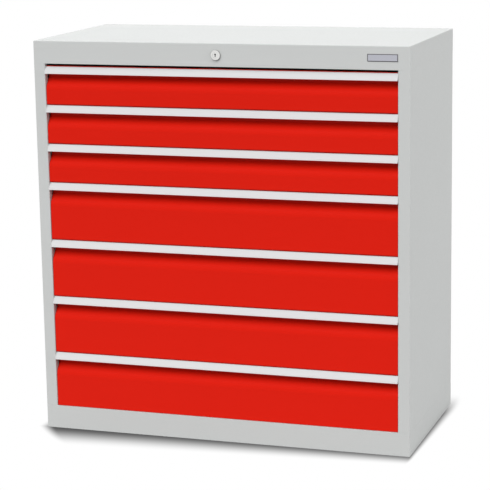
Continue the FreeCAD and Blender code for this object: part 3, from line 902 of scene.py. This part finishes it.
@dataclass
class Drawer:
    """One drawer: its painted front, aluminium strip, slotted tray, catch and runner members."""

    number: int
    sheet: float = 0.0012
    slot_pitch: float = 0.025
    slot_width: float = 0.003
    slot_margin: float = 0.03
    slot_bottom: float = 0.012
    slot_top: float = 0.016
    hem_drop: float = 0.010
    rivet_radius: float = 0.003
    rivet_height: float = 0.001
    runner_rivets: int = 3
    front_rivets: int = 4
    strip_setback: float = 0.005
    lip_depth: float = 0.004
    lip_height: float = 0.003
    lip_bevel_depth: float = 0.001
    lip_bevel_height: float = 0.0008
    cap_thickness: float = 0.0007

    @property
    def name(self) -> str:
        """The drawer's name, which starts the names of its nodes."""
        return f"drawer_{self.number}"

    def slotted_wall(self, start: np.ndarray, run: Axis, length: float, height: float) -> Surface:
        """Make one wall of the tray, with a row of upright slots for dividers.

        The grid's lines lie at each slot's two edges, and the cells between a slot's edges are left
        out over the middle of the wall's height.

        Args:
            start: The wall's lower corner, on the face that its thickness grows from.
            run: The direction that the wall runs in.
            length: The wall's length.
            height: The wall's height.

        Returns:
            The wall.
        """
        count = int((length - 2 * self.slot_margin) // self.slot_pitch) + 1
        centres = length / 2 + (np.arange(count) - (count - 1) / 2) * self.slot_pitch
        half = self.slot_width / 2
        edges = np.stack([centres - half, centres + half], -1).ravel()
        across = np.concatenate([[0.0], edges, [length]])
        along = np.array([0.0, self.slot_bottom, height - self.slot_top, height])
        kept = np.ones((len(across) - 1, len(along) - 1), bool)
        kept[1::2, 1] = False
        place = np.array([start, run.value, Axis.Z.value])
        return punched_sheet(across, along, kept, place, self.sheet)

    def tray(self, workshop: Workshop) -> None:
        """Make the tray from a floor, four slotted walls and a hem folded down inside.

        Args:
            workshop: Where the pieces are made.
        """
        node = f"{self.name}_tray"
        low, high = (np.array(corner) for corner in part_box(node))
        size = high - low
        sheet = self.sheet
        floor = punched_sheet(
            np.array([0.0, size[0]]),
            np.array([0.0, size[1]]),
            np.ones((1, 1), bool),
            np.array([low, Axis.X.value, Axis.Y.value]),
            sheet,
        )
        rise = low[2] + sheet
        wall_height = size[2] - sheet
        walls = [
            self.slotted_wall(np.array([low[0], y, rise]), Axis.X, size[0], wall_height)
            for y in (low[1] + sheet, high[1])
        ]
        walls += [
            self.slotted_wall(
                np.array([x, low[1] + sheet, rise]), Axis.Y, size[1] - 2 * sheet, wall_height
            )
            for x in (low[0], high[0] - sheet)
        ]
        tray = joined([floor, *walls, *self.hem(low, high)])
        shell = workshop.piece(f"{node}_shell", tray, TRAY_GREY, self.name)
        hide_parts(node)

    def hem(self, low: np.ndarray, high: np.ndarray) -> list[Surface]:
        """Make the four strips of the hem, inside the walls' top edges.

        Args:
            low: The tray's lowest corner.
            high: The tray's highest corner.

        Returns:
            The strips.
        """
        sheet = self.sheet
        bottom = high[2] - self.hem_drop
        inside = low + sheet
        far = high - sheet
        one = np.ones((1, 1), bool)
        rise = np.array([0.0, self.hem_drop])
        strips = []
        for y in (inside[1] + sheet, far[1]):
            place = np.array([(inside[0], y, bottom), Axis.X.value, Axis.Z.value])
            strips.append(punched_sheet(np.array([0.0, far[0] - inside[0]]), rise, one, place, sheet))
        depth = np.array([0.0, far[1] - inside[1] - 2 * sheet])
        for x in (inside[0], far[0] - sheet):
            place = np.array([(x, inside[1] + sheet, bottom), Axis.Y.value, Axis.Z.value])
            strips.append(punched_sheet(depth, rise, one, place, sheet))
        return strips

    def rivets(self, workshop: Workshop) -> None:
        """Make the rivets that hold the runner members and the front to the tray.

        Args:
            workshop: Where the pieces are made.
        """
        low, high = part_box(f"{self.name}_tray")
        runner_low, runner_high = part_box(f"{self.name}_runner")
        level = (runner_low.z + runner_high.z) / 2
        size = (self.rivet_radius, self.rivet_height)
        heads = [
            blind_rivet((x, y, level), facing, *size)
            for x, facing in ((low.x + self.sheet, (1, 0, 0)), (high.x - self.sheet, (-1, 0, 0)))
            for y in middles(runner_low.y, runner_high.y, self.runner_rivets)
        ]
        middle = (low.z + high.z) / 2
        heads += [
            blind_rivet((x, low.y + self.sheet, middle), Axis.Y.value, *size)
            for x in middles(low.x, high.x, self.front_rivets)
        ]
        workshop.piece(f"{self.name}_rivets", joined(heads), ZINC, self.name, True)

    def strip_ends(self, workshop: Workshop) -> None:
        """Make the thin caps that close the two ends of the handle strip.

        Args:
            workshop: Where the pieces are made.
        """
        low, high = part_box(f"{self.name}_handle")
        frame_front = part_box("base_pan")[0].y
        rear = frame_front + self.strip_setback
        outline = np.array(
            [
                (rear, high.z),
                (low.y, low.z + self.lip_height),
                (low.y + self.lip_bevel_depth, low.z + self.lip_bevel_height),
                (low.y + self.lip_depth, low.z),
                (rear, low.z),
            ]
        )
        caps = [prism(outline, x, self.cap_thickness * side) for x, side in ((low.x, -1), (high.x, 1))]
        workshop.piece(f"{self.name}_strip_ends", joined(caps), STRIP_CAP, self.name)

    def build(self, workshop: Workshop) -> None:
        """Dress the drawer and make its tray, its rivets and the ends of its strip.

        Args:
            workshop: Where the pieces are made.
        """
        workshop.dress((f"{self.name}_front",), FRONT_RED)
        workshop.dress((f"{self.name}_handle",), STRIP_ALUMINIUM)
        plated = (f"{self.name}_catch", f"{self.name}_runner", f"{self.name}_slide")
        workshop.dress(plated, ZINC)
        self.tray(workshop)
        self.rivets(workshop)
        self.strip_ends(workshop)


def heading(azimuth: float, elevation: float) -> Vector:
    """Return the unit vector towards an azimuth and an elevation.

    It is (sin a * cos e, -cos a * cos e, sin e), so azimuth nought lies in front of the cabinet.

    Args:
        azimuth: The angle a round the cabinet, towards the right, in degrees.
        elevation: The angle e above the floor, in degrees.

    Returns:
        The vector.
    """
    turn, lift = math.radians(azimuth), math.radians(elevation)
    return Vector(
        (math.sin(turn) * math.cos(lift), -math.cos(turn) * math.cos(lift), math.sin(lift))
    )


@dataclass(frozen=True)
class Lamp:
    """One large soft lamp, far enough away to light the whole cabinet evenly."""

    name: str
    azimuth: float
    elevation: float
    level: float
    width: float

    def build(self) -> None:
        """Put the lamp in the studio; a level of 1 lights a surface that faces it fully."""
        light = bpy.data.lights.new(self.name, "SUN")
        light.angle = math.radians(self.width)
        light.energy = math.pi * self.level
        lamp = bpy.data.objects.new(self.name, light)
        bpy.context.scene.collection.objects.link(lamp)
        lamp.visible_glossy = False
        lamp.rotation_mode = "QUATERNION"
        towards = -heading(self.azimuth, self.elevation)
        lamp.rotation_quaternion = towards.to_track_quat("-Z", "Y")


@dataclass(frozen=True)
class ContactShadow:
    """The soft shadow on the floor along the foot of the cabinet, longest in front of it."""

    darkest: float = 0.1
    left_reach: float = 0.147
    right_reach: float = 0.064
    right_start: float = 0.19
    side_front_reach: float = 0.012
    side_rear_reach: float = 0.032
    rear_inset: float = 0.1
    rear_reach: float = 0.2
    left_inset: float = 0.019
    left_end: float = 0.047
    left_slant: float = 0.74

    def light(self, shader: Shader) -> object:
        """Return how light each place on the floor is, from the darkest level up to 1.

        Each distance beyond the foot's outline is divided by the shadow's reach on that side, which
        shrinks to the right in front and grows to the rear along the right side. In front the
        shadow's left end runs out from the corner at a slant. The length of the three together runs
        from 0 at the foot to 1 where the shadow ends, and the shadow dies off over it along an
        S-shaped curve, of which the first part is left out more and more towards the right.

        Args:
            shader: The floor's material.

        Returns:
            The number's output.
        """
        low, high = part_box("base_pan")
        width, length = (low.x, high.x), (low.y, high.y)
        axes = shader.add("ShaderNodeSeparateXYZ", {"Vector": shader.place}).outputs
        x, y = axes["X"], axes["Y"]
        ahead = shader.calc("MAXIMUM", shader.calc("SUBTRACT", low.y, y), 0.0)
        slanted = shader.calc("SUBTRACT", shader.calc("MULTIPLY", ahead, self.left_slant), x)
        front_reach = shader.spread(x, self.left_reach, self.right_reach, width)
        side_reach = shader.spread(y, self.side_front_reach, self.side_rear_reach, length)
        sides = (
            self.beyond(shader, slanted, -low.x - self.left_inset, self.left_end),
            self.beyond(shader, x, high.x, side_reach),
        )
        parts = {
            "X": shader.calc("MAXIMUM", *sides),
            "Y": shader.calc("DIVIDE", ahead, front_reach),
            "Z": self.beyond(shader, y, high.y - self.rear_inset, self.rear_reach),
        }
        apart = shader.add("ShaderNodeCombineXYZ", parts).outputs["Vector"]
        away = shader.length(apart)
        start = shader.spread(x, 0.0, self.right_start, width)
        begun = shader.spread(away, start, 1.0, (0.0, 1.0))
        curve = {"Value": begun, "To Min": 1.0 - self.darkest, "To Max": 0.0}
        depth = shader.add("ShaderNodeMapRange", curve, interpolation_type="SMOOTHSTEP")
        return shader.calc("SUBTRACT", 1.0, depth.outputs["Result"])

    def beyond(self, shader: Shader, place: object, edge: float, reach: object) -> object:
        """Return how far a place lies beyond an edge, as a share of the reach."""
        outside = shader.calc("MAXIMUM", shader.calc("SUBTRACT", place, edge), 0.0)
        return shader.calc("DIVIDE", outside, reach)


@dataclass
class Studio:
    """The pale floor, the white surroundings, the lamps and the camera."""

    azimuth: float = 18.437
    elevation: float = 11.607
    roll: float = 0.95
    distance: float = 4.6682
    aim: Place = (0.0678, -0.2389, 0.5170)
    lens: float = 137.39
    sky_level: float = 0.2
    floor_size: float = 60.0
    floor_colour: Colour = (0.3, 0.3, 0.3)
    shadow: ContactShadow = ContactShadow()
    lamps: tuple[Lamp, ...] = (
        Lamp("lamp_high", 5.0, 62.0, 0.51, 60.0),
        Lamp("lamp_front_left", -20.0, 37.0, 0.56, 45.0),
        Lamp("lamp_right", 95.0, 15.0, 0.56, 50.0),
        Lamp("lamp_back", 215.0, 12.0, 0.6, 50.0),
    )

    def camera(self) -> None:
        """Place the camera by its distance, azimuth and elevation about the aim, with its roll."""
        back = heading(self.azimuth, self.elevation)
        data = bpy.data.cameras.new("camera")
        data.lens = self.lens
        camera = bpy.data.objects.new("camera", data)
        bpy.context.scene.collection.objects.link(camera)
        camera.location = Vector(self.aim) + back * self.distance
        camera.rotation_mode = "QUATERNION"
        level = (-back).to_track_quat("-Z", "Y")
        camera.rotation_quaternion = level @ Quaternion((0, 0, 1), -math.radians(self.roll))
        bpy.context.scene.camera = camera

    def surroundings(self) -> None:
        """Make the world: white to the eye and in reflections, and a plain level for the light."""
        world = bpy.data.worlds.new("studio")
        bpy.context.scene.world = world
        world.use_nodes = True
        nodes, links = world.node_tree.nodes, world.node_tree.links
        nodes.clear()
        seen = self.seen(nodes, links)
        light = nodes.new("ShaderNodeBackground")
        light.inputs["Strength"].default_value = self.sky_level
        light.inputs["Color"].default_value = (1.0, 1.0, 1.0, 1.0)
        white = nodes.new("ShaderNodeBackground")
        white.inputs["Color"].default_value = (1.0, 1.0, 1.0, 1.0)
        mix = nodes.new("ShaderNodeMixShader")
        links.new(seen, mix.inputs["Fac"])
        links.new(light.outputs[0], mix.inputs[1])
        links.new(white.outputs[0], mix.inputs[2])
        output = nodes.new("ShaderNodeOutputWorld")
        links.new(mix.outputs[0], output.inputs["Surface"])

    def seen(self, nodes: object, links: object) -> bpy.types.NodeSocket:
        """Return 1 for a ray from the eye, from a reflection or through glass, and 0 otherwise.

        Args:
            nodes: The nodes of the tree that needs it.
            links: The links of that tree.

        Returns:
            The number's output.
        """
        path = nodes.new("ShaderNodeLightPath")
        total = path.outputs["Is Camera Ray"]
        for name in ("Is Glossy Ray", "Is Transmission Ray"):
            larger = nodes.new("ShaderNodeMath")
            larger.operation = "MAXIMUM"
            links.new(total, larger.inputs[0])
            links.new(path.outputs[name], larger.inputs[1])
            total = larger.outputs[0]
        return total

    def floor(self) -> None:
        """Make the floor: white to the eye but for the shadow that the cabinet stands in, and a
        plain grey surface for the light that it sends up to the cabinet.
        """
        half = self.floor_size / 2
        mesh = bpy.data.meshes.new("floor")
        corners = [(-half, -half, 0.0), (half, -half, 0.0), (half, half, 0.0), (-half, half, 0.0)]
        mesh.from_pydata(corners, [], [(0, 1, 2, 3)])
        floor = bpy.data.objects.new("floor", mesh)
        bpy.context.scene.collection.objects.link(floor)
        shader = Shader("floor")
        shader.material.cycles.emission_sampling = "NONE"
        nodes, links = shader.tree.nodes, shader.tree.links
        glow = shader.add("ShaderNodeEmission", {"Strength": self.shadow.light(shader)})
        plain = shader.add("ShaderNodeBsdfDiffuse", {"Color": (*self.floor_colour, 1.0)})
        mix = shader.add("ShaderNodeMixShader", {"Fac": self.seen(nodes, links)})
        links.new(plain.outputs[0], mix.inputs[1])
        links.new(glow.outputs[0], mix.inputs[2])
        links.new(mix.outputs[0], nodes["Material Output"].inputs["Surface"])
        mesh.materials.append(shader.material)

    def build(self) -> None:
        """Set up the whole studio."""
        bpy.context.scene.view_settings.view_transform = "Standard"
        self.surroundings()
        self.floor()
        for lamp in self.lamps:
            lamp.build()
        self.camera()


def main() -> None:
    """Build the sub-assemblies in order, then the studio."""
    logging.basicConfig(level=logging.INFO, format="%(name)s: %(message)s")
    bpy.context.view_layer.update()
    workshop = Workshop()
    Case().build(workshop)
    CentralLock().build(workshop)
    for number in range(1, DRAWER_COUNT + 1):
        Drawer(number).build(workshop)
    Studio().build()


if __name__ == "__main__":
    main()
